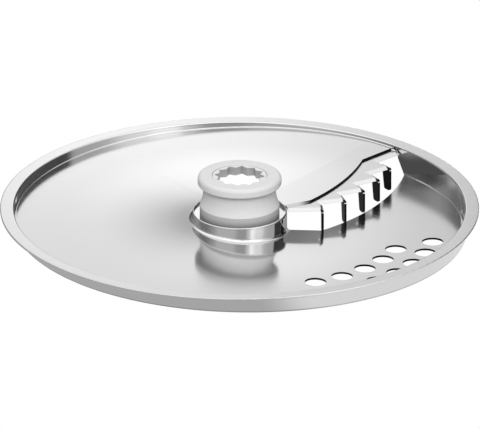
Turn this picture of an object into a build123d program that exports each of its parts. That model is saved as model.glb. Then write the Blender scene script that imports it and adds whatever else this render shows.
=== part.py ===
from build123d import *
import os
from math import acos, atan2, cos, degrees, hypot, radians, sin

# Cutting disc for a food processor: a pressed steel ramp, a finned knife and a plastic drive hub.
# Millimetres, +Z up. The origin is on the turning axis, on the surface that the foot ring stands on.

# Pressed sheet
sheet = 0.6
rim_radius = 70.0
rim_top = 10.6
rim_flange = 4.1
rim_bend = 0.5
rim_corner = 0.35
rim_edge_round = 0.2

# Ramp deck: a flat land behind the knife, then one turn down, anticlockwise seen from above
land_drop = 0.9
land_start = 2.0
land_end = 54.0
ramp_pitch = 7.4
ramp_end = 406.0

# Boss round the hub
boss_radius = 13.9
boss_drop = 1.2
boss_edge_round = 0.4
boss_root = 1.0
boss_root_start = 128.0
boss_seat_draft = 0.25
boss_seat_drop = 0.7
hub_hole_clearance = 0.06

# Throat under the knife: one arc for the lower lip and the cutting corners, a flatter one for the land's edge
throat_center = (-29.4, 57.3)
lip_arc = 79.0
cutting_setback = 1.5
land_edge_center = (-42.8, 58.0)
land_edge_arc = 81.3
lip_inner_point = (24.0, -0.9)
lip_boss_rise = 1.6
land_edge_inner_angle = -38.6
land_edge_outer_angle = -13.7
land_edge_inner_direction = 206.5
land_edge_outer_direction = 46.2
land_edge_inner_run = 13.9
land_edge_outer_run = 27.8
relief_diameter = 1.0
relief_angle = 45.4
rim_wall_cut_top = 46.0
rim_wall_cut_bottom = 42.4
boss_wall_end = 8.0

# Drain holes in two rows near the rim
hole_diameter = 6.3
row_gap = 8.95
inner_row_count = 5
inner_row_start = -62.8
inner_row_pitch = 10.92
outer_row_inset = 8.75
outer_row_count = 6
outer_row_start = -54.9
outer_row_pitch = 9.02

# Knife
knife_sheet = 0.6
fin_count = 5
fin_first_radius = 24.7
last_tooth_width = 9.5
fin_length = 3.7
fin_foot_length = 2.7
fin_depth = 7.5
fin_bend = 0.35
fin_corner = 0.7
fold_relief_diameter = 0.6
knife_inner_radius = 14.3
knife_rim_clearance = 0.5
knife_rear_angle = 53.0
edge_bevel_width = 1.5
edge_bevel_drop = 0.57

# Hub grip
grip_top = 20.7
grip_flange_radius = 12.25
grip_flange_thickness = 2.8
grip_flange_round = 1.1
grip_flange_under_round = 0.5
grip_neck_radius = 10.65
grip_neck_round = 0.4
grip_base_radius = 11.65
grip_base_height = 2.8
grip_flare_height = 4.4
grip_lip = 1.1
grip_mouth_round = 0.25

# Drive sleeve
sleeve_radius = 9.2
sleeve_flat = 8.5
sleeve_clearance = 0.08
spigot_radius = 7.95
star_points = 12
star_outer_radius = 7.45
star_inner_radius = 6.15
star_tip_round = 0.5
star_depth = 2.45
star_recess = 0.25
star_turn = 24.5
sleeve_bore_radius = 7.6
sleeve_collar_radius = 12.4
sleeve_collar_thickness = 2.0
foot_radius = 10.6
foot_chamfer = 0.6

# Forming blocks run past the faces that they shape by these lengths
form_lap = 0.5
form_depth = 1.5
form_reach = 9.5
form_gap = 0.15
form_floor = -2.0
steep = 72.0

# How close an edge lies to where it is looked for
near_length = 0.3
near_angle = 0.2

# Radii that follow from the rim's
rim_wall_radius = rim_radius - rim_flange
rim_outer_radius = rim_wall_radius + sheet
outer_row_radius = rim_wall_radius - outer_row_inset
inner_row_radius = outer_row_radius - row_gap
fin_pitch = (rim_wall_radius - last_tooth_width - fin_first_radius) / (fin_count - 1)
boss_inner_radius = boss_radius - sheet

# Levels
land_top = rim_top - land_drop
boss_top = rim_top - boss_drop
boss_seat = boss_top - boss_seat_drop
knife_top = land_top - sheet
ramp_drop = ramp_pitch * (ramp_end - land_end) / 360
ramp_low = land_top - ramp_drop
star_top = grip_top - star_recess


def polar(radius, angle):
    """Point in plan at a radius and an angle in degrees."""
    return Vector(radius * cos(radians(angle)), radius * sin(radians(angle)))


def radial_plane(angle, height=0.0):
    """Upright plane through the axis: x runs outwards and y runs up."""
    return Plane(
        origin=(0, 0, height),
        x_dir=(cos(radians(angle)), sin(radians(angle)), 0),
        z_dir=(sin(radians(angle)), -cos(radians(angle)), 0),
    )


def tangent_plane(angle, radius):
    """Upright plane square to a radius: x runs anticlockwise and y runs up."""
    return Plane(
        origin=(radius * cos(radians(angle)), radius * sin(radians(angle)), 0),
        x_dir=(-sin(radians(angle)), cos(radians(angle)), 0),
        z_dir=(cos(radians(angle)), sin(radians(angle)), 0),
    )


def ramp_height(angle):
    """Height of the deck's top face, from the land's end down to the ramp's end."""
    return land_top - ramp_pitch * (angle - land_end) / 360


def ramp_path(high_angle, low_angle):
    """Helix along the rim wall, from the low angle up to the high one."""
    rise = ramp_height(high_angle) - ramp_height(low_angle)
    helix = Helix(ramp_pitch, rise, rim_wall_radius, lefthand=True)
    return Pos(0, 0, ramp_height(low_angle)) * Rot(0, 0, low_angle) * helix


def angle_on_throat_arc(arc_radius, radius):
    """Angle about the axis where an arc about the throat's centre crosses a radius."""
    reach = hypot(*throat_center)
    bearing = degrees(atan2(throat_center[1], throat_center[0]))
    opening = degrees(acos((radius**2 + reach**2 - arc_radius**2) / (2 * radius * reach)))
    return bearing - opening


def deck_section(plane, depth, with_root):
    """Section under the deck's top face, with the corner at the rim and the root at the boss."""
    with BuildSketch(plane) as section:
        with BuildLine():
            rim_arc = CenterArc((rim_wall_radius - rim_corner, rim_corner), rim_corner, -90, steep)
            rim_end = PolarLine(rim_arc @ 1, form_lap, steep)
            if with_root:
                root_arc = CenterArc((boss_radius + boss_root, boss_root), boss_root, -90, -steep)
                root_end = PolarLine(root_arc @ 1, form_lap, 180 - steep)
                inner_top = root_end @ 1
                deck_inner = root_arc @ 0
            else:
                inner_top = Vector(boss_inner_radius, 0)
                deck_inner = inner_top
            Line(rim_arc @ 0, deck_inner)
            Polyline(rim_end @ 1, ((rim_end @ 1).X, -depth), (inner_top.X, -depth), inner_top)
        make_face()
    return section


def under_section(plane):
    """Tall section over the deck's under face, rounded where the sheet turns up into the rim wall."""
    with BuildSketch(plane) as section:
        with BuildLine():
            rim_arc = CenterArc((rim_wall_radius - rim_corner, rim_corner), rim_corner + sheet, -90, steep)
            rim_end = PolarLine(rim_arc @ 1, 2 * form_lap, steep)
            inner = boss_inner_radius - 2 * form_lap
            Polyline(
                rim_arc @ 0,
                (inner, -sheet),
                (inner, form_reach),
                ((rim_end @ 1).X, form_reach),
                rim_end @ 1,
            )
        make_face()
    return section


def sleeve_outline(plane, clearance):
    """Round outline with two flats, which keys the sleeve in the boss and the grip."""
    with BuildSketch(plane) as outline:
        Circle(sleeve_radius + clearance)
        Rectangle(2 * (sleeve_radius + clearance), 2 * (sleeve_flat + clearance), mode=Mode.INTERSECT)
    return outline


def lies_at_angle(edge, angle):
    """Whether an edge in plan runs along a radius at an angle."""
    along = degrees(atan2(edge.center().Y, edge.center().X))
    return abs(along - angle) < near_angle and edge.length > fin_length


# Plan of the throat: the lower lip's edge and the land's edge
far_side = Vector(rim_radius * cos(radians(land_end)), rim_radius)
near_side = Vector(rim_radius, -rim_radius / 2)

with BuildSketch() as behind_lip:
    with BuildLine():
        lip_start = Vector(*lip_inner_point)
        lip_end = polar(rim_radius, angle_on_throat_arc(lip_arc, rim_radius))
        RadiusArc(lip_start, lip_end, -lip_arc)
        Polyline(lip_start, (0, lip_start.Y + lip_boss_rise), (0, far_side.Y), far_side, lip_end)
    make_face()

with BuildSketch() as before_land:
    with BuildLine():
        land_edge = CenterArc(
            land_edge_center,
            land_edge_arc,
            land_edge_inner_angle,
            land_edge_outer_angle - land_edge_inner_angle,
        )
        land_inner = PolarLine(land_edge @ 0, land_edge_inner_run, land_edge_inner_direction)
        land_outer = PolarLine(land_edge @ 1, land_edge_outer_run, land_edge_outer_direction)
        rim_corner_point = (near_side.X, (land_outer @ 1).Y)
        Polyline(land_inner @ 1, (0, near_side.Y), near_side, rim_corner_point, land_outer @ 1)
    make_face()

# Forming block under the deck's top face
with BuildPart() as ramp_block:
    sweep(
        deck_section(radial_plane(ramp_end, ramp_low), form_depth, True).sketch,
        ramp_path(boss_root_start, ramp_end),
        is_frenet=True,
    )
    extrude(
        Plane.XY.offset(form_floor) * behind_lip.sketch,
        amount=ramp_low + ramp_pitch / 2 - form_floor,
        mode=Mode.SUBTRACT,
    )
    sweep(
        deck_section(radial_plane(boss_root_start, ramp_height(boss_root_start)), form_depth, False).sketch,
        ramp_path(land_end, boss_root_start),
        is_frenet=True,
    )

with BuildPart() as land_block:
    revolve(
        deck_section(radial_plane(land_start, land_top), sheet, False).sketch,
        axis=Axis.Z,
        revolution_arc=land_end - land_start,
    )
    extrude(before_land.sketch, amount=2 * rim_top, mode=Mode.SUBTRACT)

# Space over the sheet, inside the rim wall
with BuildPart() as space_above:
    with BuildSketch(Plane.XZ):
        with BuildLine():
            over = rim_top + form_lap
            boss_arc = CenterArc(
                (boss_radius - boss_edge_round, boss_top - boss_edge_round), boss_edge_round, 0, 90
            )
            Polyline(
                boss_arc @ 1,
                boss_arc @ 1 - Vector(boss_seat_draft, boss_seat_drop),
                (0, boss_seat),
                (0, over),
                (rim_wall_radius, over),
            )
            Polyline(
                (rim_wall_radius, over),
                (rim_wall_radius, form_floor),
                (boss_radius, form_floor),
                boss_arc @ 0,
            )
        make_face()
    revolve(axis=Axis.Z)
    add(ramp_block.part, mode=Mode.SUBTRACT)
    add(land_block.part, mode=Mode.SUBTRACT)

# Space under the sheet
with BuildPart() as space_below:
    with BuildSketch(Plane.XZ):
        with BuildLine():
            inner = boss_inner_radius - form_lap
            outer = rim_radius + form_lap
            under_flange = rim_top - sheet - form_gap
            Polyline(
                (inner, form_floor),
                (outer, form_floor),
                (outer, under_flange),
                (inner, under_flange),
                close=True,
            )
        make_face()
    revolve(axis=Axis.Z)
    sweep(
        under_section(radial_plane(ramp_end, ramp_low)).sketch,
        ramp_path(land_end, ramp_end),
        is_frenet=True,
        mode=Mode.SUBTRACT,
    )
    revolve(
        under_section(radial_plane(land_start, land_top)).sketch,
        axis=Axis.Z,
        revolution_arc=land_end - land_start,
        mode=Mode.SUBTRACT,
    )

# Disc: what is left of a thick blank between the two spaces
with BuildPart() as disc:
    with BuildSketch(Plane.XY.offset(form_floor + form_lap)):
        Circle(rim_radius)
    extrude(amount=rim_top - form_floor - form_lap)
    add(space_above.part, mode=Mode.SUBTRACT)
    add(space_below.part, mode=Mode.SUBTRACT)
    with BuildSketch(Plane.XY.offset(form_floor)):
        Circle(rim_radius + form_lap)
        Circle(rim_outer_radius, mode=Mode.SUBTRACT)
    extrude(amount=rim_top - sheet - form_floor, mode=Mode.SUBTRACT)
    with BuildSketch(Plane.XY.offset(form_floor)):
        Circle(boss_inner_radius)
    extrude(amount=boss_seat - sheet - form_floor, mode=Mode.SUBTRACT)

    # Ends of the two walls at the throat
    with BuildSketch(radial_plane(boss_wall_end)):
        with Locations((boss_inner_radius, form_floor)):
            Rectangle(2 * sheet + boss_root, boss_top - sheet - form_floor, align=Align.MIN)
    revolve(axis=Axis.Z, revolution_arc=land_end - boss_wall_end, mode=Mode.SUBTRACT)
    with BuildSketch(tangent_plane(rim_wall_cut_top, rim_wall_radius - form_lap)):
        slant = rim_wall_radius * sin(radians(rim_wall_cut_top - rim_wall_cut_bottom))
        Polygon(
            (0, knife_top),
            (-slant, ramp_low - sheet),
            (slant, ramp_low - sheet),
            (slant, knife_top),
            align=None,
        )
    extrude(amount=2 * form_lap + sheet, mode=Mode.SUBTRACT)
    with BuildSketch(Plane.XY.offset(form_floor)):
        with PolarLocations(rim_wall_radius, 1, relief_angle):
            Circle(relief_diameter / 2)
    extrude(amount=rim_top - sheet - form_floor, mode=Mode.SUBTRACT)
    # Hub hole and drain holes
    extrude(
        sleeve_outline(Plane.XY.offset(form_floor), hub_hole_clearance).sketch,
        amount=rim_top - form_floor,
        mode=Mode.SUBTRACT,
    )
    with BuildSketch(Plane.XY.offset(form_floor)):
        with PolarLocations(
            inner_row_radius, inner_row_count, inner_row_start, inner_row_count * inner_row_pitch
        ):
            Circle(hole_diameter / 2)
        with PolarLocations(
            outer_row_radius, outer_row_count, outer_row_start, outer_row_count * outer_row_pitch
        ):
            Circle(hole_diameter / 2)
    extrude(amount=rim_top - form_floor, mode=Mode.SUBTRACT)
    # Rounded bend at the rim and dressed outer edge
    round_edges = disc.edges().filter_by(GeomType.CIRCLE).group_by(Axis.Z)[-1]
    fillet(round_edges.filter_by(lambda edge: abs(edge.radius - rim_wall_radius) < near_length), rim_bend)
    outer_edges = disc.edges().filter_by(GeomType.CIRCLE)
    fillet(outer_edges.filter_by(lambda edge: abs(edge.radius - rim_radius) < near_length), rim_edge_round)

# Knife: a stepped plate under the land, with a fin folded down at the outer end of each step
knife_fold = fin_bend + knife_sheet
fin_radii = [fin_first_radius + index * fin_pitch for index in range(fin_count)]
knife_outer_radius = rim_wall_radius - knife_rim_clearance
step_angles = [angle_on_throat_arc(lip_arc - cutting_setback, radius) for radius in fin_radii]
last_angle = angle_on_throat_arc(lip_arc - cutting_setback, knife_outer_radius)

with BuildPart() as knife:
    with BuildSketch(Plane.XY.offset(knife_top)):
        with BuildLine():
            corners = [polar(knife_inner_radius, step_angles[0])]
            fold_ends = []
            for radius, angle, next_angle in zip(fin_radii, step_angles, step_angles[1:] + [last_angle]):
                fold_front = polar(radius - knife_fold, angle)
                fold_rear = fold_front + polar(fin_length, angle + 90)
                fold_ends += [fold_rear]
                corners += [fold_front, fold_rear, polar(fold_rear.length, next_angle)]
            corners += [polar(knife_outer_radius, last_angle)]
            Polyline(*corners)
            outer_side = CenterArc((0, 0), knife_outer_radius, last_angle, knife_rear_angle - last_angle)
            inner_side = CenterArc(
                (0, 0), knife_inner_radius, step_angles[0], knife_rear_angle - step_angles[0]
            )
            Line(outer_side @ 1, inner_side @ 1)
        make_face()
    extrude(amount=-knife_sheet)
    top_face = knife.faces().sort_by(Axis.Z)[-1]
    cutting_edges = top_face.edges().filter_by(
        lambda edge: any(lies_at_angle(edge, angle) for angle in step_angles + [last_angle])
    )
    chamfer(cutting_edges, edge_bevel_width, edge_bevel_drop, reference=top_face)
    for radius, angle in zip(fin_radii, step_angles):
        with BuildSketch(radial_plane(angle, knife_top - knife_fold)):
            with BuildLine():
                outer_bend = CenterArc((radius - knife_fold, 0), knife_fold, 0, 90)
                inner_bend = CenterArc((radius - knife_fold, 0), fin_bend, 0, 90)
                Line(outer_bend @ 0, inner_bend @ 0)
                Line(outer_bend @ 1, inner_bend @ 1)
            make_face()
        extrude(amount=-fin_length)
        with BuildSketch(tangent_plane(angle, radius - knife_sheet)):
            with BuildLine():
                Polyline(
                    (0, knife_top - knife_fold),
                    (fin_length, knife_top - knife_fold),
                    (fin_foot_length, knife_top - fin_depth),
                    (0, knife_top - fin_depth),
                    close=True,
                )
            leg = make_face()
            fillet(leg.vertices().group_by(Axis.Z)[0], fin_corner)
        extrude(amount=knife_sheet)
    # Relief holes at the rear ends of the folds
    with BuildSketch(Plane.XY.offset(knife_top)):
        with Locations(*fold_ends):
            Circle(fold_relief_diameter / 2)
    extrude(amount=-knife_sheet, mode=Mode.SUBTRACT)

# Hub grip: a turned spool with a lip over the sleeve
with BuildPart() as hub_grip:
    with BuildSketch(Plane.XZ):
        with BuildLine():
            neck_top = grip_top - grip_flange_thickness
            base_top = boss_seat + grip_base_height
            TangentArc(
                (grip_neck_radius, base_top + grip_flare_height),
                (grip_base_radius, base_top),
                tangent=(0, -1),
            )
            Polyline(
                (grip_neck_radius, base_top + grip_flare_height),
                (grip_neck_radius, neck_top),
                (grip_flange_radius, neck_top),
                (grip_flange_radius, grip_top),
                (0, grip_top),
                (0, boss_seat),
                (grip_base_radius, boss_seat),
                (grip_base_radius, base_top),
            )
        make_face()
    revolve(axis=Axis.Z)
    grip_edges = hub_grip.edges().filter_by(GeomType.CIRCLE)
    flange_edges = grip_edges.filter_by(lambda edge: abs(edge.radius - grip_flange_radius) < near_length)
    fillet(flange_edges.sort_by(Axis.Z)[-1], grip_flange_round)
    under_edges = hub_grip.edges().filter_by(GeomType.CIRCLE).filter_by_position(Axis.Z, neck_top, neck_top)
    fillet(under_edges.sort_by(SortBy.RADIUS)[-1], grip_flange_under_round)
    neck_edges = hub_grip.edges().filter_by(GeomType.CIRCLE).filter_by_position(Axis.Z, neck_top, neck_top)
    fillet(neck_edges.sort_by(SortBy.RADIUS)[0], grip_neck_round)
    extrude(
        sleeve_outline(Plane.XY.offset(boss_seat), sleeve_clearance).sketch,
        amount=grip_top - grip_lip - boss_seat,
        mode=Mode.SUBTRACT,
    )
    with BuildSketch(Plane.XY.offset(boss_seat)):
        Circle(spigot_radius + sleeve_clearance)
    extrude(amount=grip_top - boss_seat, mode=Mode.SUBTRACT)
    mouth_edges = hub_grip.edges().filter_by(GeomType.CIRCLE).group_by(Axis.Z)[-1]
    fillet(mouth_edges.sort_by(SortBy.RADIUS)[0], grip_mouth_round)

# Drive sleeve: foot, collar under the boss, keyed body and the star-shaped drive hole
with BuildPart() as drive_sleeve:
    collar_top = boss_seat - sheet
    shoulder = grip_top - grip_lip
    with BuildSketch():
        Circle(foot_radius)
    extrude(amount=collar_top)
    with BuildSketch(Plane.XY.offset(collar_top)):
        Circle(sleeve_collar_radius)
    extrude(amount=-sleeve_collar_thickness)
    extrude(sleeve_outline(Plane.XY.offset(collar_top), 0).sketch, amount=shoulder - collar_top)
    with BuildSketch(Plane.XY.offset(shoulder)):
        Circle(spigot_radius)
    extrude(amount=star_top - shoulder)
    with BuildSketch():
        Circle(sleeve_bore_radius)
    extrude(amount=star_top - star_depth, mode=Mode.SUBTRACT)
    with BuildSketch(Plane.XY.offset(star_top)) as star:
        half_step = 180 / star_points
        tips = []
        for index in range(star_points):
            tips.append(polar(star_outer_radius, star_turn + 2 * index * half_step))
            tips.append(polar(star_inner_radius, star_turn + (2 * index + 1) * half_step))
        with BuildLine():
            Polyline(*tips, close=True)
        make_face()
        inner_tips = star.vertices().filter_by(
            lambda vertex: hypot(vertex.X, vertex.Y) < (star_inner_radius + star_outer_radius) / 2
        )
        fillet(inner_tips, star_tip_round)
    extrude(amount=-star_depth - form_lap, mode=Mode.SUBTRACT)
    foot_edges = drive_sleeve.edges().filter_by(GeomType.CIRCLE).group_by(Axis.Z)[0]
    chamfer(foot_edges, foot_chamfer)

os.makedirs("parts", exist_ok=True)
for piece, name in (
    (disc, "disc"),
    (knife, "knife"),
    (hub_grip, "hub_grip"),
    (drive_sleeve, "drive_sleeve"),
):
    piece.part.label = name
    export_step(piece.part, f"parts/{name}.step")
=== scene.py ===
import logging
import math
from dataclasses import dataclass
from enum import Enum

import bmesh
import bpy
from mathutils import Matrix, Vector


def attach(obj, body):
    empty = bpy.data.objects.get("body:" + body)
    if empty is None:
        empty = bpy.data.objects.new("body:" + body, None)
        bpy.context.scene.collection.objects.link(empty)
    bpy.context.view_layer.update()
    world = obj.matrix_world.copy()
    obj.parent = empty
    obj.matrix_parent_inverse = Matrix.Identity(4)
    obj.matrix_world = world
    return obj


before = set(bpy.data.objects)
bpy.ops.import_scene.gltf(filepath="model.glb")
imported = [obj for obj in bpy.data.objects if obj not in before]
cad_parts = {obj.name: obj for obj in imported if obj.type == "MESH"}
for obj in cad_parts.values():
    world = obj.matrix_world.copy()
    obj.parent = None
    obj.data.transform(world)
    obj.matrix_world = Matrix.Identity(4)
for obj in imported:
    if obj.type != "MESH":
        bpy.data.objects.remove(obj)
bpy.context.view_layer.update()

LOG = logging.getLogger("food_processor_disc")
BODY = "root"
WHITE = "#ffffff"
MM = 0.001
# An upright face's normal rises by less than the first share, and a flat face's by more than the second.
UPRIGHT = (0.35, 0.6)


class CadNode(Enum):
    """The CAD nodes that get a finish."""

    DISC = "disc"
    KNIFE = "knife"
    GRIP = "hub_grip"
    SLEEVE = "drive_sleeve"


def linear(colour: str) -> tuple[float, float, float, float]:
    """Turn an sRGB hex colour into linear values.

    Args:
        colour: Six hex digits after a hash sign.

    Returns:
        Red, green, blue and an opaque alpha.
    """
    channels = [int(colour[start:start + 2], 16) / 255 for start in (1, 3, 5)]
    values = [c / 12.92 if c <= 0.04045 else ((c + 0.055) / 1.055) ** 2.4 for c in channels]
    return (*values, 1.0)


def add_node(
    tree: bpy.types.NodeTree,
    kind: str,
    settings: dict[str, object] | None = None,
    sockets: dict[str | int, object] | None = None,
    output: str | int = 0,
) -> bpy.types.NodeSocket:
    """Add a node with its settings, and set or link its inputs.

    Args:
        tree: The node tree that takes the node.
        kind: The node's type name.
        settings: Attributes of the node.
        sockets: Inputs by name or number; an output socket is linked, and anything else is a value.
        output: Name or number of the output that is wanted.

    Returns:
        The wanted output's socket.
    """
    node = tree.nodes.new(kind)
    for name, value in (settings or {}).items():
        setattr(node, name, value)
    for name, value in (sockets or {}).items():
        if isinstance(value, bpy.types.NodeSocket):
            tree.links.new(value, node.inputs[name])
        else:
            node.inputs[name].default_value = value
    return node.outputs[output]


def new_material(name: str, lit: bool = False) -> tuple[bpy.types.Material, bpy.types.NodeTree]:
    """Start a node material.

    Args:
        name: The material's name.
        lit: Whether it gives light, and so needs no surface shader.

    Returns:
        The material and its node tree.
    """
    material = bpy.data.materials.new(name)
    material.use_nodes = True
    if lit:
        material.node_tree.nodes.remove(material.node_tree.nodes["Principled BSDF"])
    return material, material.node_tree


def place_mesh(name: str, shape: bmesh.types.BMesh, material: bpy.types.Material) -> bpy.types.Object:
    """Turn a finished shape into an object at the origin.

    Args:
        name: The object's name.
        shape: The shape, which is freed.
        material: Its finish.

    Returns:
        The new object.
    """
    mesh = bpy.data.meshes.new(name)
    shape.to_mesh(mesh)
    shape.free()
    mesh.materials.append(material)
    piece = bpy.data.objects.new(name, mesh)
    bpy.context.scene.collection.objects.link(piece)
    LOG.info("%s made", name)
    return piece


def set_finish(node: CadNode, material: bpy.types.Material) -> None:
    """Give a CAD node its finish.

    Args:
        node: The node.
        material: The finish.
    """
    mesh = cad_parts[node.value].data
    mesh.materials.clear()
    mesh.materials.append(material)
    LOG.info("%s wears %s", node.value, material.name)


def axis_distance(tree: bpy.types.NodeTree, place: bpy.types.NodeSocket) -> bpy.types.NodeSocket:
    """Measure how far a place lies from the turning axis.

    Args:
        tree: The material's node tree.
        place: Place on the object.

    Returns:
        The distance in metres.
    """
    level = add_node(tree, "ShaderNodeVectorMath", {"operation": "MULTIPLY"}, {0: place, 1: (1.0, 1.0, 0.0)})
    return add_node(tree, "ShaderNodeVectorMath", {"operation": "LENGTH"}, {0: level}, "Value")


def levelness(tree: bpy.types.NodeTree, normal: str) -> bpy.types.NodeSocket:
    """Measure how level a face lies.

    Args:
        tree: The material's node tree.
        normal: The geometry output to go by, the smoothed normal or the true one.

    Returns:
        One on a level face and nought on an upright one.
    """
    facing = add_node(tree, "ShaderNodeNewGeometry", output=normal)
    rise = add_node(tree, "ShaderNodeSeparateXYZ", sockets={"Vector": facing}, output="Z")
    return add_node(tree, "ShaderNodeMath", {"operation": "ABSOLUTE"}, {0: rise})


def uprightness(tree: bpy.types.NodeTree) -> bpy.types.NodeSocket:
    """Find the upright faces.

    Args:
        tree: The material's node tree.

    Returns:
        One on an upright face.
    """
    standing, lying = UPRIGHT
    return add_node(
        tree,
        "ShaderNodeMapRange",
        {"interpolation_type": "SMOOTHSTEP"},
        {
            "Value": levelness(tree, "True Normal"),
            "From Min": standing,
            "From Max": lying,
            "To Min": 1.0,
            "To Max": 0.0,
        },
    )


def direction(azimuth: float, elevation: float) -> Vector:
    """Give the unit vector towards a place on the studio's dome.

    Args:
        azimuth: Degrees from straight behind the disc, positive to the camera's right.
        elevation: Degrees above the floor.

    Returns:
        The vector in the row frame.
    """
    side, rise = math.radians(azimuth), math.radians(elevation)
    return Vector((math.sin(side) * math.cos(rise), math.cos(side) * math.cos(rise), math.sin(rise)))


@dataclass(frozen=True)
class StainlessSteel:
    """Cold-rolled stainless sheet: a satin mirror whose sheared edges are matt and carry painted shade, a
    near-black colour.

    Attributes:
        name: The material's name.
        colour: What the rolled face reflects, as sRGB hex.
        cut_shade_colour: Painted shade on a sheared edge, a near-black colour, as sRGB hex.
        cut_start_mm: Radii between which the sheared edges set in, clear of the drawn boss.
        cut_end_mm: Radius where they end, clear of the drawn rim.
        roughness: Blur on the flat sheet.
        stretched_roughness: Blur near the hub, where the drawing stretched the sheet smooth.
        stretched_mm: Radii between which that ends.
        drawn_roughness: Blur on the drawn walls, which the press tool polished.
        drawn_rise: Rise of the normal on a drawn wall and on the flat sheet.
        cut_roughness: Blur on a sheared edge.
        scuffed_mm: Radii between which the bowl has scuffed the sheet matt, out to its edge.
        scuffed_roughness: Blur on the scuffed edge.
        grain_mm: Spacing of the rolling lines, drawn coarse enough to show.
        grain_depth_mm: Height of the rolling lines.
        grain_detail: How many finer layers of lines there are.
        grain_stretch: Width of a rolling line as a share of its length.
        grain_blur: Shares by which the rolling lines lower and raise the blur.
    """

    name: str
    colour: str = "#dcdcdc"
    cut_shade_colour: str = "#161616"
    cut_start_mm: tuple[float, float] = (17.5, 22.5)
    cut_end_mm: float = 65.3
    roughness: float = 0.19
    stretched_roughness: float = 0.1
    stretched_mm: tuple[float, float] = (32.0, 55.0)
    drawn_roughness: float = 0.05
    drawn_rise: tuple[float, float] = (0.5, 0.95)
    cut_roughness: float = 0.4
    scuffed_mm: tuple[float, float] = (69.3, 69.8)
    scuffed_roughness: float = 0.3
    grain_mm: float = 0.5
    grain_depth_mm: float = 0.0012
    grain_detail: float = 2.0
    grain_stretch: float = 0.03
    grain_blur: tuple[float, float] = (0.85, 1.15)

    def material(self) -> bpy.types.Material:
        """Build the material.

        Returns:
            A new node material.
        """
        material, tree = new_material(self.name)
        shader = tree.nodes["Principled BSDF"]
        shader.inputs["Metallic"].default_value = 1.0
        place = add_node(tree, "ShaderNodeTexCoord", output="Object")
        radius = axis_distance(tree, place)
        cut = self.sheared(tree, radius)
        # Painted shade: sheared edges take a near-black colour in place of the shade they lie in.
        colour_and_painted_light = add_node(
            tree,
            "ShaderNodeMix",
            {"data_type": "RGBA"},
            {"Factor": cut, "A": linear(self.colour), "B": linear(self.cut_shade_colour)},
            "Result",
        )
        tree.links.new(colour_and_painted_light, shader.inputs["Base Color"])
        # Rolling lines run across the sheet as long thin streaks.
        streaks = add_node(
            tree, "ShaderNodeMapping", sockets={"Vector": place, "Scale": (self.grain_stretch, 1.0, 1.0)}
        )
        grain = add_node(
            tree,
            "ShaderNodeTexNoise",
            sockets={"Vector": streaks, "Scale": 1 / (self.grain_mm * MM), "Detail": self.grain_detail},
        )
        tree.links.new(self.blur(tree, radius, cut, grain), shader.inputs["Roughness"])
        bump = add_node(
            tree,
            "ShaderNodeBump",
            sockets={"Height": grain, "Strength": 1.0, "Distance": self.grain_depth_mm * MM},
        )
        tree.links.new(bump, shader.inputs["Normal"])
        return material

    def sheared(self, tree: bpy.types.NodeTree, radius: bpy.types.NodeSocket) -> bpy.types.NodeSocket:
        """Find the sheared edges: upright faces clear of the drawn walls.

        Args:
            tree: The material's node tree.
            radius: Distance from the turning axis.

        Returns:
            A socket that is one on a sheared edge.
        """
        start, full = (reach * MM for reach in self.cut_start_mm)
        past_boss = add_node(
            tree,
            "ShaderNodeMapRange",
            {"interpolation_type": "SMOOTHSTEP"},
            {"Value": radius, "From Min": start, "From Max": full},
        )
        before_rim = add_node(
            tree, "ShaderNodeMath", {"operation": "LESS_THAN"}, {0: radius, 1: self.cut_end_mm * MM}
        )
        between = add_node(tree, "ShaderNodeMath", {"operation": "MULTIPLY"}, {0: past_boss, 1: before_rim})
        return add_node(tree, "ShaderNodeMath", {"operation": "MULTIPLY"}, {0: uprightness(tree), 1: between})

    def blur(
        self,
        tree: bpy.types.NodeTree,
        radius: bpy.types.NodeSocket,
        cut: bpy.types.NodeSocket,
        grain: bpy.types.NodeSocket,
    ) -> bpy.types.NodeSocket:
        """Work out the roughness from the drawing, the scuffing, the shearing and the grain.

        Args:
            tree: The material's node tree.
            radius: Distance from the turning axis.
            cut: One on a sheared edge.
            grain: The rolling lines.

        Returns:
            The roughness.
        """
        start, end = (reach * MM for reach in self.stretched_mm)
        sheet = add_node(
            tree,
            "ShaderNodeMapRange",
            {"interpolation_type": "SMOOTHSTEP"},
            {
                "Value": radius,
                "From Min": start,
                "From Max": end,
                "To Min": self.stretched_roughness,
                "To Max": self.roughness,
            },
        )
        # The flat sheet faces up or down; the walls that the press drew are smoother.
        steep, level = self.drawn_rise
        drawn = add_node(
            tree,
            "ShaderNodeMapRange",
            {"interpolation_type": "SMOOTHSTEP"},
            {
                "Value": levelness(tree, "Normal"),
                "From Min": steep,
                "From Max": level,
                "To Min": self.drawn_roughness,
                "To Max": sheet,
            },
        )
        start, edge = (reach * MM for reach in self.scuffed_mm)
        scuffed = add_node(
            tree,
            "ShaderNodeMapRange",
            sockets={
                "Value": radius,
                "From Min": start,
                "From Max": edge,
                "To Max": self.scuffed_roughness,
            },
        )
        smoother, rougher = self.grain_blur
        uneven = add_node(
            tree, "ShaderNodeMapRange", sockets={"Value": grain, "To Min": smoother, "To Max": rougher}
        )
        worn = add_node(tree, "ShaderNodeMath", {"operation": "MAXIMUM"}, {0: drawn, 1: scuffed})
        streaked = add_node(tree, "ShaderNodeMath", {"operation": "MULTIPLY"}, {0: worn, 1: uneven})
        matt = add_node(tree, "ShaderNodeMath", {"operation": "MULTIPLY"}, {0: cut, 1: self.cut_roughness})
        return add_node(tree, "ShaderNodeMath", {"operation": "MAXIMUM"}, {0: streaked, 1: matt})


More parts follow.
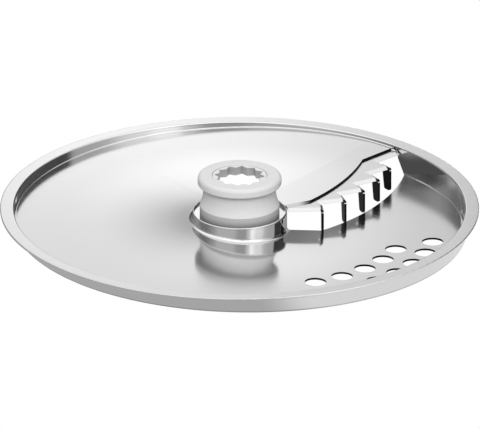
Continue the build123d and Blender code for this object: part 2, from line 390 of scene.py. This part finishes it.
@dataclass(frozen=True)
class MouldedPlastic:
    """Light grey acetal, moulded in a fine-eroded tool: an even satin skin with a soft highlight.

    Attributes:
        name: The material's name.
        colour: The plastic's colour, as sRGB hex.
        wall_light_shade_colour: Painted light and shade: the colour of upright faces over the low part, as
            sRGB hex.
        low_light_shade_colour: Painted light and shade: the colour of the low part, as sRGB hex.
        low_top_mm: Height where the low part ends.
        roughness: Blur of the highlight on the moulded skin.
        handled_mm: Radii between which hands have polished the skin, out to the rim.
        handled_roughness: Blur of the highlight on the polished rim.
        grit_mm: Size of the tool's fine pits.
        grit_depth_mm: Depth of the pits.
        grit_detail: How many finer layers of pits there are.
        grit_shade: How dark the pits are.
        corner_shade_mm: How far the painted shade reaches out of a corner.
        corner_shade_level: How dark the painted shade is in a deep corner.
        corner_shade_open: Share of open air in a deep corner and where the skin is unshaded.
        corner_shade_samples: Rays that measure the open air.
        index: The plastic's index of refraction.
    """

    name: str
    colour: str
    wall_light_shade_colour: str
    low_light_shade_colour: str
    low_top_mm: float
    roughness: float = 0.44
    handled_mm: tuple[float, float] = (11.0, 12.2)
    handled_roughness: float = 0.36
    grit_mm: float = 0.35
    grit_depth_mm: float = 0.004
    grit_detail: float = 3.0
    grit_shade: float = 0.94
    corner_shade_mm: float = 3.0
    corner_shade_level: float = 0.25
    corner_shade_open: tuple[float, float] = (0.2, 0.8)
    corner_shade_samples: int = 8
    index: float = 1.48

    def material(self) -> bpy.types.Material:
        """Build the material.

        Returns:
            A new node material.
        """
        material, tree = new_material(self.name)
        shader = tree.nodes["Principled BSDF"]
        shader.inputs["IOR"].default_value = self.index
        place = add_node(tree, "ShaderNodeTexCoord", output="Object")
        pits = add_node(
            tree,
            "ShaderNodeTexNoise",
            sockets={"Vector": place, "Scale": 1 / (self.grit_mm * MM), "Detail": self.grit_detail},
        )
        tree.links.new(self.colour_and_painted_light(tree, place, pits), shader.inputs["Base Color"])
        radius = axis_distance(tree, place)
        start, rim = (reach * MM for reach in self.handled_mm)
        polished = add_node(
            tree,
            "ShaderNodeMapRange",
            sockets={
                "Value": radius,
                "From Min": start,
                "From Max": rim,
                "To Min": self.roughness,
                "To Max": self.handled_roughness,
            },
        )
        tree.links.new(polished, shader.inputs["Roughness"])
        bump = add_node(
            tree,
            "ShaderNodeBump",
            sockets={"Height": pits, "Strength": 1.0, "Distance": self.grit_depth_mm * MM},
        )
        tree.links.new(bump, shader.inputs["Normal"])
        return material

    def colour_and_painted_light(
        self, tree: bpy.types.NodeTree, place: bpy.types.NodeSocket, pits: bpy.types.NodeSocket
    ) -> bpy.types.NodeSocket:
        """Colour the skin: its parts with their painted light and shade, the pits of the tool and painted
        shade in the corners.

        Args:
            tree: The material's node tree.
            place: Place on the object.
            pits: The tool's fine pits.

        Returns:
            The colour.
        """
        height = add_node(tree, "ShaderNodeSeparateXYZ", sockets={"Vector": place}, output="Z")
        low = add_node(
            tree, "ShaderNodeMath", {"operation": "LESS_THAN"}, {0: height, 1: self.low_top_mm * MM}
        )
        # Painted light and shade: upright faces over the low part take their own colour, lighter on the
        # grip's neck and darker on the star's walls.
        upper = add_node(
            tree,
            "ShaderNodeMix",
            {"data_type": "RGBA"},
            {"Factor": uprightness(tree), "A": linear(self.colour), "B": linear(self.wall_light_shade_colour)},
            "Result",
        )
        # Painted light and shade: the low part takes its own colour, a darker foot band on the grip and a
        # near-white bore in the sleeve.
        skin = add_node(
            tree,
            "ShaderNodeMix",
            {"data_type": "RGBA"},
            {"Factor": low, "A": upper, "B": linear(self.low_light_shade_colour)},
            "Result",
        )
        pitted = add_node(
            tree, "ShaderNodeMapRange", sockets={"Value": pits, "To Min": self.grit_shade, "To Max": 1.0}
        )
        # Painted shade: the skin darkens in corners and under overhangs, such as the neck under the flange,
        # where little open air is found.
        open_air = add_node(
            tree,
            "ShaderNodeAmbientOcclusion",
            {"samples": self.corner_shade_samples},
            {"Distance": self.corner_shade_mm * MM},
            "AO",
        )
        deep, clear = self.corner_shade_open
        painted_corner_shade = add_node(
            tree,
            "ShaderNodeMapRange",
            sockets={
                "Value": open_air,
                "From Min": deep,
                "From Max": clear,
                "To Min": self.corner_shade_level,
                "To Max": 1.0,
            },
        )
        shade = add_node(tree, "ShaderNodeMath", {"operation": "MULTIPLY"}, {0: pitted, 1: painted_corner_shade})
        return add_node(
            tree,
            "ShaderNodeMix",
            {"data_type": "RGBA", "blend_type": "MULTIPLY"},
            {"Factor": 1.0, "A": skin, "B": shade},
            "Result",
        )


@dataclass
class PressedDisc:
    """The pressed sheet: rim, ramp deck, land, boss and drain holes.

    Attributes:
        finish: The sheet's finish.
    """

    finish: StainlessSteel = StainlessSteel("rolled_stainless_sheet")

    def dress(self) -> None:
        """Give the sheet its finish."""
        set_finish(CadNode.DISC, self.finish.material())


@dataclass
class Knife:
    """The finned knife, with the marks of the spot welds that hold it under the land.

    Attributes:
        finish: The blade's finish; each upright face is a fin or a sheared edge and carries painted shade, a
            near-black colour.
        weld_finish: The finish of a weld mark, dulled by the electrode.
        slot: A material slot name for the blade and its welds; not used.
        under_mm: Height of the knife's under face.
        weld_count: How many welds there are.
        weld_angle: Where they lie round the axis, in degrees.
        weld_reach_mm: Radii of the first and the last weld.
        weld_radius_mm: Radius of a weld mark at the sheet.
        weld_crown_mm: Radius of its raised ring.
        weld_height_mm: How far the ring stands out.
        weld_dish_mm: Width and depth of the dish that the electrode left.
        weld_round_mm: Rounding of its edges.
        weld_round_steps: How many steps the rounding is drawn with.
        weld_sides: How many sides its rings are drawn with.
        sharp_angle: Bend above which an edge is rounded, in degrees.
    """

    # Painted shade: every upright face of the blade, fins included, takes the near-black cut colour.
    finish: StainlessSteel = StainlessSteel(
        "ground_stainless_blade", cut_start_mm=(0.0, 1.0), cut_end_mm=70.0, stretched_roughness=0.19
    )
    weld_finish: StainlessSteel = StainlessSteel("spot_weld_mark", colour="#b4b4b4", roughness=0.34)
    slot: str = "knife_steel"
    under_mm: float = 8.5
    weld_count: int = 5
    weld_angle: float = 49.5
    weld_reach_mm: tuple[float, float] = (20.0, 60.0)
    weld_radius_mm: float = 1.5
    weld_crown_mm: float = 1.2
    weld_height_mm: float = 0.12
    weld_dish_mm: tuple[float, float] = (0.35, 0.08)
    weld_round_mm: float = 0.03
    weld_round_steps: int = 2
    weld_sides: int = 24
    sharp_angle: float = 20.0

    def build(self) -> None:
        """Make the weld marks under the knife."""
        shape = bmesh.new()
        first, last = self.weld_reach_mm
        width, depth = self.weld_dish_mm
        for index in range(self.weld_count):
            radius = first + (last - first) * index / (self.weld_count - 1)
            along = Matrix.Rotation(math.radians(self.weld_angle), 4, "Z")
            centre = along @ Vector((radius * MM, 0.0, (self.under_mm - self.weld_height_mm / 2) * MM))
            made = bmesh.ops.create_cone(
                shape,
                cap_ends=True,
                segments=self.weld_sides,
                radius1=self.weld_crown_mm * MM,
                radius2=self.weld_radius_mm * MM,
                depth=self.weld_height_mm * MM,
                matrix=Matrix.Translation(centre),
            )
            faces = {face for vertex in made["verts"] for face in vertex.link_faces}
            crown = min(faces, key=lambda face: face.calc_center_median().z)
            bmesh.ops.inset_region(shape, faces=[crown], thickness=width * MM, depth=-depth * MM)
        sharp = [edge for edge in shape.edges if edge.calc_face_angle(0.0) > math.radians(self.sharp_angle)]
        bmesh.ops.bevel(
            shape,
            geom=sharp,
            offset=self.weld_round_mm * MM,
            offset_type="OFFSET",
            segments=self.weld_round_steps,
            profile=0.5,
            affect="EDGES",
            material=-1,
        )
        bmesh.ops.recalc_face_normals(shape, faces=shape.faces)
        marks = place_mesh("weld_marks", shape, self.weld_finish.material())
        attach(marks, BODY)

    def dress(self) -> None:
        """Give the blade its finish."""
        set_finish(CadNode.KNIFE, self.finish.material())


@dataclass
class DriveHub:
    """The spool-shaped grip and the sleeve with the star-shaped hole.

    Attributes:
        grip_finish: The grip's finish; its foot band carries painted shade, a darker grey than its neck, and
            its upright faces above carry painted light.
        sleeve_finish: The sleeve's finish; the star's walls carry painted shade, a dark grey, and the bore
            under them painted light, near white.
    """

    # Painted light and shade on the grip: lighter upright faces above the foot band, a darker foot band and
    # painted shade in its corners.
    grip_finish: MouldedPlastic = MouldedPlastic(
        "moulded_acetal_grip", "#c6c6c6", "#cecece", "#b2b2b2", 11.5
    )
    # Painted light and shade on the sleeve: dark star walls, a near-white bore and light painted shade in its
    # corners.
    sleeve_finish: MouldedPlastic = MouldedPlastic(
        "moulded_acetal_sleeve", "#cacaca", "#8c8c8c", "#fcfcfc", 18.0, corner_shade_level=0.85
    )

    def dress(self) -> None:
        """Give the two plastic nodes their finishes."""
        set_finish(CadNode.GRIP, self.grip_finish.material())
        set_finish(CadNode.SLEEVE, self.sleeve_finish.material())


@dataclass(frozen=True)
class Patch:
    """A soft round patch of the dome that the metal mirrors.

    Attributes:
        azimuth: Degrees from straight behind the disc, positive to the camera's right.
        elevation: Degrees above the floor.
        core: Half angle of its even middle, in degrees.
        reach: Half angle where it has faded out, in degrees.
        strength: How much light it adds.
    """

    azimuth: float
    elevation: float
    core: float
    reach: float
    strength: float


@dataclass(frozen=True)
class Glow:
    """A soft bright spot on the back card.

    Attributes:
        across: Its place across the card, in metres.
        up: Its height above the floor, in metres.
        half_width: Half of its width, in metres.
        half_height: Half of its height, in metres.
        strength: Light that it adds.
    """

    across: float
    up: float
    half_width: float
    half_height: float
    strength: float


@dataclass(frozen=True)
class BackCard:
    """The white card behind the disc that the deck mirrors, off the camera's view.

    Attributes:
        distance: How far it stands behind the disc, in metres.
        left: Where it starts, across, in metres.
        right: Where it ends, across, in metres.
        bottom: Where it starts, above the floor, in metres.
        top: Where it ends, above the floor, in metres.
        base: Light of the card away from its spots.
        glows: Its bright spots.
    """

    distance: float = 0.5
    left: float = -0.125
    right: float = 0.085
    bottom: float = 0.09
    top: float = 0.4
    base: float = 0.53
    glows: tuple[Glow, ...] = (
        Glow(-0.04, 0.195, 0.17, 0.12, 0.9),
        Glow(0.075, 0.25, 0.06, 0.045, 0.35),
        Glow(0.08, 0.22, 0.03, 0.04, 0.45),
    )

    def build(self) -> None:
        """Stand the card up behind the disc."""
        shape = bmesh.new()
        bmesh.ops.create_grid(shape, x_segments=1, y_segments=1, size=0.5)
        bmesh.ops.scale(
            shape, vec=(self.right - self.left, self.top - self.bottom, 1.0), verts=shape.verts
        )
        bmesh.ops.rotate(shape, matrix=Matrix.Rotation(math.pi / 2, 3, "X"), verts=shape.verts)
        middle = ((self.left + self.right) / 2, self.distance, (self.bottom + self.top) / 2)
        bmesh.ops.translate(shape, vec=middle, verts=shape.verts)
        card = place_mesh("back_card", shape, self.material())
        card.visible_camera = False
        card.visible_shadow = False

    def material(self) -> bpy.types.Material:
        """Build the card's light.

        Returns:
            A new node material.
        """
        material, tree = new_material("lit_card", lit=True)
        place = add_node(tree, "ShaderNodeTexCoord", output="Object")
        light: float | bpy.types.NodeSocket = self.base
        for glow in self.glows:
            centred = add_node(
                tree,
                "ShaderNodeVectorMath",
                {"operation": "SUBTRACT"},
                {0: place, 1: (glow.across, self.distance, glow.up)},
            )
            scaled = add_node(
                tree,
                "ShaderNodeVectorMath",
                {"operation": "DIVIDE"},
                {0: centred, 1: (glow.half_width, 1.0, glow.half_height)},
            )
            away = add_node(tree, "ShaderNodeVectorMath", {"operation": "LENGTH"}, {0: scaled}, "Value")
            share = add_node(
                tree,
                "ShaderNodeMapRange",
                {"interpolation_type": "SMOOTHSTEP"},
                {"Value": away, "From Max": 1.0, "To Min": glow.strength, "To Max": 0.0},
            )
            light = add_node(tree, "ShaderNodeMath", {"operation": "ADD"}, {0: light, 1: share})
        lit = add_node(tree, "ShaderNodeEmission", sockets={"Color": linear(WHITE), "Strength": light})
        tree.links.new(lit, tree.nodes["Material Output"].inputs["Surface"])
        return material


@dataclass(frozen=True)
class KeyLight:
    """A broad soft light over the camera's shoulder, flagged so that the steel doesn't mirror it.

    Attributes:
        azimuth: Degrees from straight behind the disc, positive to the camera's right.
        elevation: Degrees above the floor.
        distance: How far off it stands, in metres.
        size: Side of the square light, in metres.
        power: Watts.
    """

    azimuth: float = 183.0
    elevation: float = 42.0
    distance: float = 1.2
    size: float = 0.5
    power: float = 8.0

    def build(self) -> None:
        """Hang the light and aim it at the hub."""
        lamp = bpy.data.lights.new("key", "AREA")
        lamp.size = self.size
        lamp.energy = self.power
        light = bpy.data.objects.new("key", lamp)
        bpy.context.scene.collection.objects.link(light)
        towards = direction(self.azimuth, self.elevation)
        light.location = towards * self.distance
        light.rotation_euler = towards.to_track_quat("Z", "Y").to_euler()
        light.visible_glossy = False
        light.visible_camera = False
        LOG.info("key light hung")


@dataclass(frozen=True)
class LightTable:
    """The floor: white paper lit from below, which the camera sees as plain white.

    Attributes:
        size: Side of the square floor, in metres.
        left_glow: Light that the steel mirrors from its left part.
        right_glow: Light that the steel mirrors from its right part.
        turn_mm: Where across the floor the light rises from the one to the other.
        middle_share: Share of the light that is left under the middle of the disc.
        shade_share: Share of the light that is left under its rim.
        shade_mm: Radii where the shade starts, is full, still is full and ends.
        bore_glow: Light that shines up the hub's bore.
        bore_mm: Radius of that light.
    """

    size: float = 6.0
    left_glow: float = 0.52
    right_glow: float = 0.9
    turn_mm: tuple[float, float] = (8.0, 32.0)
    middle_share: float = 0.48
    shade_share: float = 0.1
    shade_mm: tuple[float, float, float, float] = (50.0, 56.0, 58.0, 71.0)
    bore_glow: float = 3.0
    bore_mm: float = 7.5

    def build(self) -> None:
        """Lay the floor."""
        shape = bmesh.new()
        bmesh.ops.create_grid(shape, x_segments=1, y_segments=1, size=self.size / 2)
        place_mesh("floor", shape, self.material())

    def material(self) -> bpy.types.Material:
        """Build the floor's light.

        Returns:
            A new node material.
        """
        material, tree = new_material("lit_white_paper", lit=True)
        place = add_node(tree, "ShaderNodeTexCoord", output="Object")
        across = add_node(tree, "ShaderNodeSeparateXYZ", sockets={"Vector": place}, output="X")
        start, end = (turn * MM for turn in self.turn_mm)
        mirrored = add_node(
            tree,
            "ShaderNodeMapRange",
            {"interpolation_type": "SMOOTHSTEP"},
            {
                "Value": across,
                "From Min": start,
                "From Max": end,
                "To Min": self.left_glow,
                "To Max": self.right_glow,
            },
        )
        away = add_node(tree, "ShaderNodeVectorMath", {"operation": "LENGTH"}, {0: place}, "Value")
        # Painted shadow of the disc: the floor's light is lowered under its middle, most under its rim, and
        # clear beyond it.
        start, full, still, clear = (radius * MM for radius in self.shade_mm)
        under = add_node(
            tree,
            "ShaderNodeMapRange",
            {"interpolation_type": "SMOOTHSTEP"},
            {
                "Value": away,
                "From Min": start,
                "From Max": full,
                "To Min": self.middle_share,
                "To Max": self.shade_share,
            },
        )
        around = add_node(
            tree,
            "ShaderNodeMapRange",
            {"interpolation_type": "SMOOTHSTEP"},
            {"Value": away, "From Min": still, "From Max": clear},
        )
        share = add_node(tree, "ShaderNodeMath", {"operation": "MAXIMUM"}, {0: under, 1: around})
        shaded = add_node(tree, "ShaderNodeMath", {"operation": "MULTIPLY"}, {0: mirrored, 1: share})
        inside = add_node(
            tree, "ShaderNodeMath", {"operation": "LESS_THAN"}, {0: away, 1: self.bore_mm * MM}
        )
        under_bore = add_node(
            tree, "ShaderNodeMath", {"operation": "MULTIPLY"}, {0: inside, 1: self.bore_glow}
        )
        ray = add_node(tree, "ShaderNodeLightPath", output="Is Camera Ray")
        seen = add_node(tree, "ShaderNodeMath", {"operation": "MAXIMUM"}, {0: shaded, 1: ray})
        light = add_node(tree, "ShaderNodeMath", {"operation": "MAXIMUM"}, {0: seen, 1: under_bore})
        lit = add_node(tree, "ShaderNodeEmission", sockets={"Color": linear(WHITE), "Strength": light})
        tree.links.new(lit, tree.nodes["Material Output"].inputs["Surface"])
        return material


@dataclass
class Studio:
    """A lit floor, a soft dome of light, a back card, a key light and the camera at the photograph's angle.

    Attributes:
        azimuth: Where the camera stands, in degrees from straight behind the disc.
        elevation: How far the camera looks down, in degrees.
        distance: How far off it stands, in metres.
        view_width_mm: Width of what it sees at the disc.
        aim_mm: The point that it looks at.
        sensor_mm: Width of its sensor.
        dome_strength: Light of the dome away from its patches.
        patches: The dome's bright patches.
        floor: The floor.
        card: The card behind the disc.
        key: The light on the hub.
    """

    azimuth: float = 180.0
    elevation: float = 22.4
    distance: float = 5.0
    view_width_mm: float = 140.26
    aim_mm: tuple[float, float, float] = (0.12, 0.0, 8.3)
    sensor_mm: float = 36.0
    dome_strength: float = 0.06
    patches: tuple[Patch, ...] = (
        Patch(0, 85, 30, 62, 1.2),
        Patch(180, 20, 30, 80, 0.46),
        Patch(-87, 20, 25, 50, 0.22),
        Patch(-45, 20, 12, 28, 0.13),
        Patch(-150, 20, 12, 30, 0.22),
        Patch(117, 20, 29, 34, 0.55),
        Patch(126, 32, 10, 17, 0.3),
        Patch(148, 32, 10, 17, 0.55),
    )
    floor: LightTable = LightTable()
    card: BackCard = BackCard()
    key: KeyLight = KeyLight()

    def build(self) -> None:
        """Set up the whole studio."""
        self.floor.build()
        self.build_dome()
        self.card.build()
        self.key.build()
        self.build_camera()

    def build_dome(self) -> None:
        """Light the scene with soft patches on a dome; the camera itself sees plain white."""
        world = bpy.data.worlds.new("soft_studio")
        bpy.context.scene.world = world
        world.use_nodes = True
        tree = world.node_tree
        place = add_node(tree, "ShaderNodeTexCoord", output="Generated")
        light: float | bpy.types.NodeSocket = self.dome_strength
        for patch in self.patches:
            along = add_node(
                tree,
                "ShaderNodeVectorMath",
                {"operation": "DOT_PRODUCT"},
                {0: place, 1: direction(patch.azimuth, patch.elevation)},
                "Value",
            )
            share = add_node(
                tree,
                "ShaderNodeMapRange",
                {"interpolation_type": "SMOOTHSTEP"},
                {
                    "Value": along,
                    "From Min": math.cos(math.radians(patch.reach)),
                    "From Max": math.cos(math.radians(patch.core)),
                    "To Max": patch.strength,
                },
            )
            light = add_node(tree, "ShaderNodeMath", {"operation": "ADD"}, {0: light, 1: share})
        dome = add_node(tree, "ShaderNodeBackground", sockets={"Color": linear(WHITE), "Strength": light})
        plain = add_node(tree, "ShaderNodeBackground", sockets={"Color": linear(WHITE)})
        ray = add_node(tree, "ShaderNodeLightPath", output="Is Camera Ray")
        mixed = add_node(tree, "ShaderNodeMixShader", sockets={0: ray, 1: dome, 2: plain})
        tree.links.new(mixed, tree.nodes["World Output"].inputs["Surface"])
        LOG.info("dome lit")

    def build_camera(self) -> None:
        """Place the camera far off with a long lens, as in the photograph."""
        lens = bpy.data.cameras.new("camera")
        lens.sensor_width = self.sensor_mm
        lens.lens = self.sensor_mm * self.distance / (self.view_width_mm * MM)
        camera = bpy.data.objects.new("camera", lens)
        bpy.context.scene.collection.objects.link(camera)
        towards = direction(self.azimuth, self.elevation)
        camera.location = Vector(self.aim_mm) * MM + towards * self.distance
        camera.rotation_euler = towards.to_track_quat("Z", "Y").to_euler()
        bpy.context.scene.camera = camera
        LOG.info("camera placed")


def main() -> None:
    """Build the looks in order."""
    logging.basicConfig(level=logging.INFO, format="%(message)s")
    PressedDisc().dress()
    knife = Knife()
    knife.build()
    knife.dress()
    DriveHub().dress()
    Studio().build()
    bpy.context.scene.view_settings.view_transform = "Standard"


if __name__ == "__main__":
    main()
